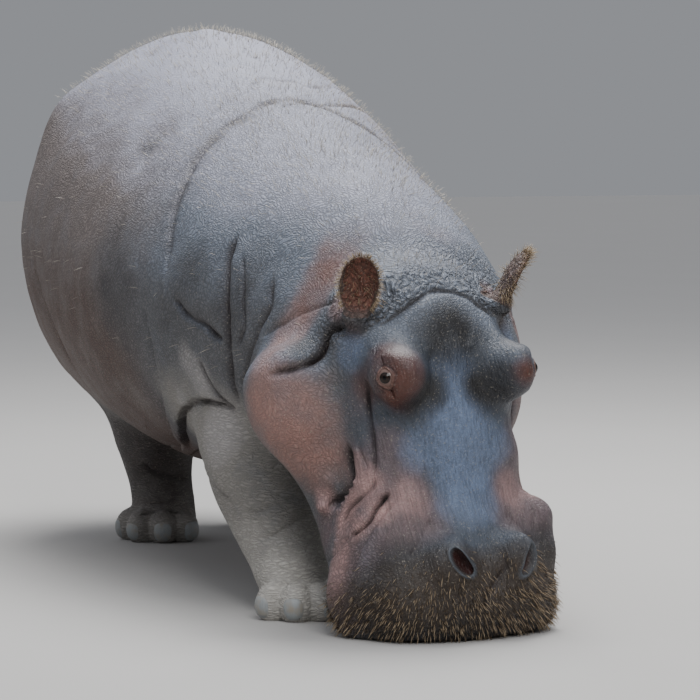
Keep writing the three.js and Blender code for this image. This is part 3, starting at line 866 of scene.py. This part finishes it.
tree.links.new(bump, shader.inputs["Normal"])
roughness = addNode(tree, "MapRange", {"Value": isFace, "To Min": hide["roughBody"], "To Max": hide["roughFace"]})
roughness = addNode(tree, "Math", [mottle, hide["roughMottle"], roughness], operation="MULTIPLY_ADD")
tree.links.new(roughness, shader.inputs["Roughness"])
mesh.materials.append(material)
print("hide")

# Eyes: a dark brown iris with a wide pupil, and the clear bulge over it

eye = {
    "radius": 24.0, "clearBulge": 1.2, "bulgeAngle": 0.5,
    "iris": "#17100d", "irisPale": "#2c1d16", "ring": "#0b0807", "white": "#6d5750", "pupilColour": "#040303",
    "pupil": 0.2, "irisEdge": 0.44,  # as shares of the ball's radius
    "streak": 1.7,  # mm across
}
# Living eye, wet: a black-brown ball with one sharp sky highlight.
wetEyeball, tree, shader = newMaterial("wetEyeball")
gaze = addNode(tree, "Attribute", output="Vector", attribute_name="gaze")
parts = addNode(tree, "SeparateXYZ", [gaze]).node.outputs
squashed = addNode(tree, "CombineXYZ", [parts[0], addNode(tree, "Math", [parts[1], 1.5], operation="MULTIPLY")])
pupilGap = addNode(tree, "VectorMath", [squashed], operation="LENGTH")
irisGap = addNode(tree, "VectorMath", [addNode(tree, "CombineXYZ", [parts[0], parts[1]])], operation="LENGTH")
streaks = addNode(tree, "TexNoise", {"Vector": gaze, "Scale": eye["radius"] / eye["streak"], "Detail": 5})
colour = addNode(tree, "Mix", {0: streaks, 6: linear(eye["iris"]), 7: linear(eye["irisPale"])}, data_type="RGBA")
for gap, start, end, inner, outer in [
    (irisGap, eye["irisEdge"] - 0.05, eye["irisEdge"], None, eye["ring"]),
    (irisGap, eye["irisEdge"] + 0.01, eye["irisEdge"] + 0.12, None, eye["white"]),
    (pupilGap, eye["pupil"], eye["pupil"] + 0.05, eye["pupilColour"], None),
]:
    edge = addNode(tree, "MapRange", [gap, start, end], interpolation_type="SMOOTHSTEP")
    within, beyond = (linear(code) if code else colour for code in (inner, outer))
    colour = addNode(tree, "Mix", {0: edge, 6: within, 7: beyond}, data_type="RGBA")
tree.links.new(colour, shader.inputs["Base Color"])
shader.inputs["Roughness"].default_value = 0.12
shader.inputs["IOR"].default_value = 1.34

for side in sides:
    axis, forward, upward = eyeFrames[side]
    work = bmesh.new()
    bmesh.ops.create_uvsphere(work, u_segments=56, v_segments=36, radius=1.0)
    ball = bpy.data.meshes.new("eyeball_" + side)
    work.to_mesh(ball)
    work.free()
    unit = pointsOf(ball)
    angle = np.arccos(np.clip(unit[:, 2], -1, 1))
    size = eye["radius"] + eye["clearBulge"] * smoothStep(eye["bulgeAngle"], 0.1, angle)
    turn = np.array([forward, upward, axis])
    setPoints(ball, eyes[side] + (unit * size[:, None] * mm) @ turn)
    saveMask(ball, "gaze", unit, "FLOAT_VECTOR", "vector")
    shadeSmooth(ball)
    if np.linalg.det(turn) < 0:
        ball.flip_normals()
    eyeball = placed("eyeball_" + side, ball)
    ball.materials.append(wetEyeball)
    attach(eyeball, "root")
    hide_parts("eye_" + side)
print("eyes")

# Nails: worn grey horn, rounded, with fine growth lines

nail = {
    "halfWide": 0.72, "halfHigh": 0.62, "middle": -0.16,  # angles on the toe, in radians
    "stands": 3.6, "sinks": 2.0, "back": 5.0, "growthLine": 2.4, "stain": 22,  # mm
    "rings": 9, "around": 32,
    "horn": "#83888a", "paleHorn": "#a0a3a3", "dirt": "#989185",
}
nailPoints, nailFaces = [], []
around = np.arange(nail["around"]) * 2 * math.pi / nail["around"]
for middle, turn in toeFrames:
    start = len(nailPoints)
    for face in (1, -1):
        for ring in range(nail["rings"] + (face > 0)):
            out = ring / nail["rings"]
            square = out / (np.abs(np.cos(around)) ** 3 + np.abs(np.sin(around)) ** 3) ** (1 / 3)
            across, rise = square * np.cos(around) * nail["halfWide"], square * np.sin(around) * nail["halfHigh"]
            rise = rise + nail["middle"]
            thick = nail["stands"] * (1 - out**4) * (1 - 0.3 * rise) if face > 0 else -nail["back"] * (1 - out**2)
            shape = np.stack([np.sin(across) * np.cos(rise), np.cos(across) * np.cos(rise), np.sin(rise)], 1)
            place = shape * toe["size"] + shape * np.reshape(thick - nail["sinks"] * out**6, (-1, 1))
            place = middle + (place * mm) @ turn
            place[:, 2] = np.maximum(place[:, 2], 0.5 * mm)
            nailPoints += place.tolist()
    rows = nail["rings"] * 2 + 1
    order = list(range(nail["rings"] + 1)) + list(range(rows - 1, nail["rings"], -1))
    for above, below in zip(order, order[1:]):
        for k in range(nail["around"]):
            after = (k + 1) % nail["around"]
            nailFaces.append([start + above * nail["around"] + k, start + above * nail["around"] + after,
                              start + below * nail["around"] + after, start + below * nail["around"] + k])
nailObject = newObject("nails", nailPoints, nailFaces)
nailMesh = nailObject.data
work = bmesh.new()
work.from_mesh(nailMesh)
bmesh.ops.remove_doubles(work, verts=work.verts, dist=0.02 * mm)
bmesh.ops.recalc_face_normals(work, faces=work.faces)
work.to_mesh(nailMesh)
work.free()
shadeSmooth(nailMesh)
nailNodes = [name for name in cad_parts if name.startswith("nail")]
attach(nailObject, "root")
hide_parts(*nailNodes)

# Hoof horn, scuffed by sand: dull blue-grey with paler lines that run down it and patches of sandy dirt.
material, tree, shader = newMaterial("wornHoofHorn")
place = addNode(tree, "TexCoord", output="Object")
downLines = addNode(tree, "VectorMath", [place, (1, 1, 0.12)], operation="MULTIPLY")
lines = addNode(tree, "TexNoise", {"Vector": downLines, "Scale": 1000 / nail["growthLine"], "Detail": 3})
stains = addNode(tree, "TexNoise", {"Vector": place, "Scale": 1000 / nail["stain"], "Detail": 5})
horn = addNode(tree, "Mix", {0: lines, 6: linear(nail["horn"]), 7: linear(nail["paleHorn"])}, data_type="RGBA")
dirt = addNode(tree, "MapRange", [stains, 0.45, 0.7])
horn = addNode(tree, "Mix", {0: dirt, 6: horn, 7: linear(nail["dirt"])}, data_type="RGBA")
tree.links.new(horn, shader.inputs["Base Color"])
bump = addNode(tree, "Bump", {"Height": lines, "Distance": 0.6 * mm})
tree.links.new(bump, shader.inputs["Normal"])
shader.inputs["Roughness"].default_value = 0.5
shader.inputs["IOR"].default_value = 1.54
nailMesh.materials.append(material)
print("nails")

# Bristles and hairs: each a thin tapered blade of solid mesh, rooted in the skin

skinTriangles = trianglesOf(mesh)
corners = points[skinTriangles]
middles = corners.mean(1)
triangleArea = length(np.cross(corners[:, 1] - corners[:, 0], corners[:, 2] - corners[:, 0])) / 2
triangleNormal = unitOf(normals[skinTriangles].mean(1))


def rootsOn(weight, count):
    share = triangleArea * weight
    chosen = dice.choice(len(share), count, p=share / share.sum())
    mix = dice.dirichlet((1, 1, 1), count)
    return (corners[chosen] * mix[..., None]).sum(1), triangleNormal[chosen]


bristle = {
    "stops": [(-0.06, 1.0), (0.35, 0.85), (0.72, 0.5)],  # three rings along a hair and how thick it is there
    "clear": 2 * mm,  # a hair that would come nearer the floor than this bends along it
    "patch": 0.0011, "patchStep": 0.0004,  # of the square that the surface is unwrapped on
}
down = np.array([0, 0, -1.0])


def bristles(name, roots, ways, sag, lengthRange, widthRange, unwrap, material):
    count = len(roots)
    lengths, widths = (dice.uniform(*span, count) * mm for span in (lengthRange, widthRange))
    ways = unitOf(ways)
    crosswise = unitOf(np.cross(ways, dice.normal(size=(count, 3))))
    third = np.cross(ways, crosswise)
    rings, places = [], []
    for t, thick in bristle["stops"]:
        middle = roots + ways * (lengths * t)[:, None] + sag * down * (lengths * t * abs(t))[:, None]
        for k in range(3):
            angle = 2 * math.pi * k / 3
            rings.append(middle + (crosswise * math.cos(angle) + third * math.sin(angle))
                         * (widths * thick / 2)[:, None])
            places.append((bristle["patch"] * math.cos(angle),
                           bristle["patch"] * math.sin(angle) + bristle["patchStep"] * t))
    rings.append(roots + ways * lengths[:, None] + sag * down * lengths[:, None])
    places.append((0.0, bristle["patchStep"]))
    faces = [(3 * row + k, 3 * row + (k + 1) % 3, 3 * row + 3 + (k + 1) % 3, 3 * row + 3 + k)
             for row in (0, 1) for k in range(3)]
    tips = [(6 + k, 6 + (k + 1) % 3, 9) for k in range(3)] + [(2, 1, 0)]
    allPoints = np.stack(rings, 1).reshape(-1, 3)
    clear, rise = bristle["clear"], allPoints[:, 2]
    allPoints[:, 2] = np.where(rise < clear, clear * np.exp(np.minimum(rise - clear, 0) / (5 * clear)), rise)
    starts = np.arange(count)[:, None, None] * len(rings)
    allFaces = (starts + np.array(faces)).reshape(-1, 4).tolist() + (starts + np.array(tips)).reshape(-1, 3).tolist()
    piece = newObject(name, allPoints, allFaces)
    spread = (unwrap(roots)[:, None] + np.array(places)).reshape(-1, 2)
    corner = readOut(piece.data.loops, "vertex_index", 1, int)[:, 0]
    piece.data.uv_layers.new(name="OFBake").data.foreach_set("uv", spread[corner].ravel())
    shadeSmooth(piece.data)
    saveMask(piece.data, "along", np.tile([0, 0, 0, .35, .35, .35, .72, .72, .72, 1.0], count))
    saveMask(piece.data, "own", np.repeat(dice.random(count), len(rings)))
    piece.data.materials.append(material)
    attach(piece, "root")


# Where a tuft's root lies on the unwrapped surface: round the head and along it, or round the body.
def headUnwrap(places):
    x, y, z = (toHead(places) / mm).T
    return np.stack([np.arctan2(x, z + 150) / (2 * math.pi) + 0.5, -y / 900 + 0.1], 1) * 0.9 + 0.05


def bodyUnwrap(places):
    x, y, z = places.T
    return np.stack([np.arctan2(x, z - 0.75) / (2 * math.pi) + 0.5, (y + 1.4) / 2.9], 1) * 0.9 + 0.05


def hairMaterial(name, root, tip, other):
    # Stiff keratin bristle, dry: straw pale at the tip and dark where it leaves the skin.
    material, tree, shader = newMaterial(name)
    own = addNode(tree, "Attribute", output="Fac", attribute_name="own")
    shade = addNode(tree, "Mix", {0: own, 6: linear(tip), 7: linear(other)}, data_type="RGBA")
    along = addNode(tree, "Attribute", output="Fac", attribute_name="along")
    rise = addNode(tree, "MapRange", {"Value": along, "From Max": 0.5})
    shade = addNode(tree, "Mix", {0: rise, 6: linear(root), 7: shade}, data_type="RGBA")
    tree.links.new(shade, shader.inputs["Base Color"])
    shader.inputs["Roughness"].default_value = 0.5
    shader.inputs["IOR"].default_value = 1.55
    return material


strawBristle = hairMaterial("strawBristle", "#4a3b2e", "#b5a081", "#86735a")
brownBristle = hairMaterial("brownBristle", "#2f261f", "#65543f", "#4a3c2d")
paleHair = hairMaterial("paleBackHair", "#8a827c", "#d5cdbd", "#a89f91")
centreY = toHead(middles)[:, 1] / mm
height = middles[:, 2]

# Muzzle: short stiff bristles, thickest low on the front, pointing out and down.
muzzleWeight = smoothStep(-560, -650, centreY) * smoothStep(0.20, 0.05, height) * smoothStep(0.006, 0.02, height)
muzzleWeight = muzzleWeight * (0.4 + 0.6 * smoothStep(0.17, 0.08, height))
muzzleWeight = muzzleWeight + 0.09 * smoothStep(-520, -600, centreY) * smoothStep(0.32, 0.18, height)
muzzleWeight = muzzleWeight * (nostrilShade[skinTriangles].max(1) < 0.05)
for name, count, lengths, widths, material in [  # millimetres
    ("muzzle_bristles", 1500, (9, 25), (1.2, 2.1), strawBristle),
    ("muzzle_underhair", 3200, (5, 13), (1.0, 1.5), brownBristle),
]:
    roots, outs = rootsOn(muzzleWeight, count)
    clump = np.array([noise.noise_vector(place) for place in (roots / 0.03).tolist()])
    aside = np.outer(toHead(roots)[:, 0] / 0.24, headTurn[:, 0])
    ways = outs + 0.6 * down + 0.5 * aside + 0.45 * clump + dice.normal(0, 0.16, outs.shape)
    bristles(name, roots, ways, 0.25, lengths, widths, headUnwrap, material)

# Ears: a fringe on the rims, and fewer hairs inside the cup.
for side in sides:
    turn, root = earFrames[side]
    across, deep, tall = inEar(middles, side).T
    oval = np.hypot(across / ear["halfWidth"], (tall - ear["centre"]) / ear["halfHeight"])
    weight = smoothStep(0.82, 0.95, oval) * (np.abs(deep) < 45) * (tall > 5) * (oval < 1.3)
    weight = weight + 0.1 * (oval < 0.9) * (np.abs(deep) < 30) * (tall > 10)
    roots, outs = rootsOn(weight, ear["hairs"])
    local = inEar(roots, side)
    radial = np.stack([local[:, 0] / ear["halfWidth"], np.full(len(local), -0.25),
                       (local[:, 2] - ear["centre"]) / ear["halfHeight"]], 1) @ turn.T
    ways = 1.2 * radial + 0.5 * outs + dice.normal(0, 0.22, outs.shape)
    bristles("ear_fringe_" + side, roots, ways, 0.15, ear["hairLength"][side], ear["hairWidth"], headUnwrap,
             strawBristle)

# Back: sparse pale hairs that stand up from the ridge and lean to the tail.
backHair = {"count": 4400, "length": (12, 30), "width": (0.8, 1.1), "lean": (0, 0.35, 0), "astray": 0.25, "sag": 0.2}
backWeight = smoothStep(0.55, 0.97, triangleNormal[:, 2]) * smoothStep(0.6, 0.9, height) + 0.02
backWeight = backWeight * smoothStep(0.45, 0.6, height) * smoothStep(-20, 60, centreY)
roots, outs = rootsOn(backWeight, backHair["count"])
ways = outs + np.array(backHair["lean"]) + dice.normal(0, backHair["astray"], outs.shape)
bristles("back_hairs", roots, ways, backHair["sag"], backHair["length"], backHair["width"], bodyUnwrap, paleHair)
print("bristles")

# Floor and light

# The sky is as bright at the horizon as the floor is, so that no line shows where they meet.
studio = {
    "halfWidth": 30, "floor": "#b1afac", "floorDark": "#adaba8", "mottle": 670,  # mm across
    "sky": [(0.0, 0.26), (1.0, 1.0), (0.07, 0.26), (0.16, 0.15), (0.45, 0.32)],
    "skyTint": (0.94, 0.97, 1.04), "strength": 1.15,
    "lampsAim": (0, -0.3, 0.6),
    "lamps": [
        ("overhead", (1.0, 1.4, 6.0), 560, 3.5),
        ("front", (-0.6, -6.8, 5.8), 330, 3.5),
    ],
}

floorCorners = [(x * studio["halfWidth"], y * studio["halfWidth"], 0) for x, y in ((-1, -1), (1, -1), (1, 1), (-1, 1))]
floor = newObject("floor", floorCorners, [(0, 1, 2, 3)])

# Painted studio floor: matt and very slightly mottled, so that shadows read on it.
material, tree, shader = newMaterial("mattFloorPaint")
place = addNode(tree, "TexCoord", output="Object")
cloud = addNode(tree, "TexNoise", {"Vector": place, "Scale": 1000 / studio["mottle"], "Detail": 4})
paint = addNode(tree, "Mix", {0: cloud, 6: linear(studio["floorDark"]), 7: linear(studio["floor"])}, data_type="RGBA")
tree.links.new(paint, shader.inputs["Base Color"])
shader.inputs["Roughness"].default_value = 0.9
floor.data.materials.append(material)

world = bpy.data.worlds.new("studio")
world.use_nodes = True
worldTree = world.node_tree
skyWay = addNode(worldTree, "TexCoord", output="Generated")
skyHeight = addNode(worldTree, "SeparateXYZ", [skyWay], "Z")
skyRamp = addNode(worldTree, "ValToRGB", [skyHeight])
stops = skyRamp.node.color_ramp.elements
for k, (position, level) in enumerate(studio["sky"]):
    stop = stops[k] if k < 2 else stops.new(position)
    stop.position = position
    stop.color = (*(level * share for share in studio["skyTint"]), 1)
background = worldTree.nodes["Background"]
worldTree.links.new(skyRamp, background.inputs["Color"])
background.inputs["Strength"].default_value = studio["strength"]
bpy.context.scene.world = world

for name, place, power, size in studio["lamps"]:
    lamp = bpy.data.lights.new(name, "AREA")
    lamp.energy, lamp.size = power, size
    lampObject = placed(name, lamp)
    lampObject.location = place
    lampObject.rotation_euler = (Vector(studio["lampsAim"]) - Vector(place)).to_track_quat("-Z", "Y").to_euler()
